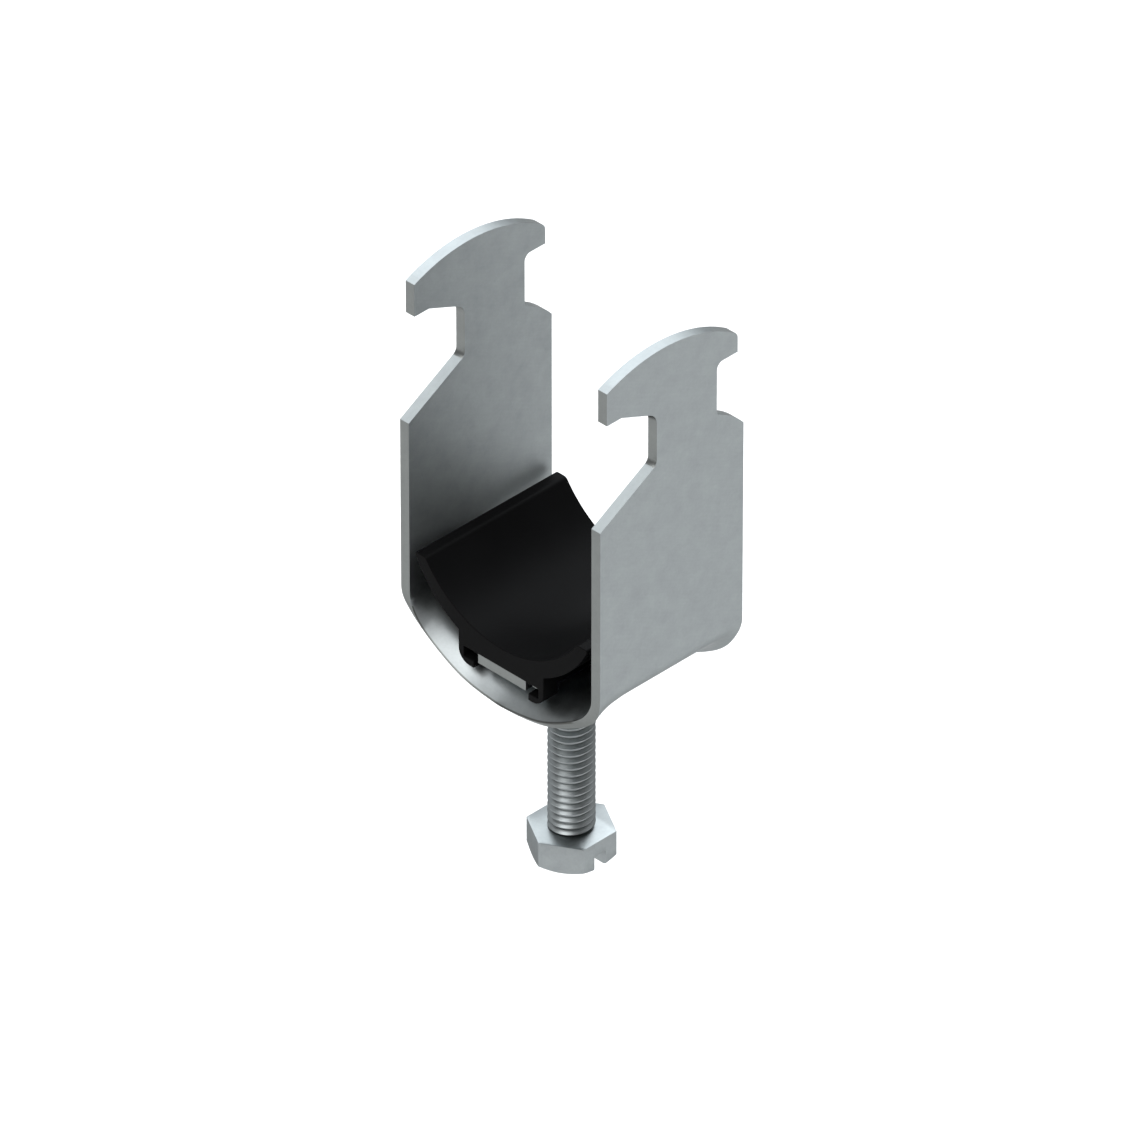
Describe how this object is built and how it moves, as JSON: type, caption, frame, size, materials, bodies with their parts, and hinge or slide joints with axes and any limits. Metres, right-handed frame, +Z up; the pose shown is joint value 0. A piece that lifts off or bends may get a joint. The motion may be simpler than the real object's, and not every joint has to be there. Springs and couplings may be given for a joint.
{
  "type": "stirrup clamp",
  "caption": "Stirrup clamp for hanging a cable under a slotted channel rail: hooked steel bow, screw-driven plastic trough that presses the cable up against the rail.",
  "frame": {"origin": "on the screw's axis, level with the undersides of the hooks that rest on the rail's lips", "axes": "+Z up the legs, +Y along the clamped cable, +X along the rail"},
  "size_m": [0.0344, 0.0246, 0.0846],
  "materials": {
    "galvanised_strip": "dull zinc coating with a faint mottle",
    "black_plastic": "satin moulded plastic",
    "plate_steel": "plain zinc-coated steel",
    "screw_steel": "zinc-plated steel"
  },
  "bodies": {
    "bow body": {"bow": "galvanised_strip"},
    "trough body": {"pressure_trough": "black_plastic", "pressure_plate": "plate_steel"},
    "screw body": {"clamping_screw": "screw_steel"}
  },
  "joints": [
    {"name": "trough_slide", "type": "slide", "parent": "bow body", "child": "trough body", "axis": [0, 0, 1], "range_m": [0, 0.024]},
    {"name": "screw_turn", "type": "hinge", "parent": "trough body", "child": "screw body", "pos_m": [0, 0, -0.06], "axis": [0, 0, 1], "range_deg": [0, 8640]}
  ],
  "couplings": [
    {"joint": "screw_turn", "follows": "trough_slide", "rad_per_m": 6283.2}
  ]
}
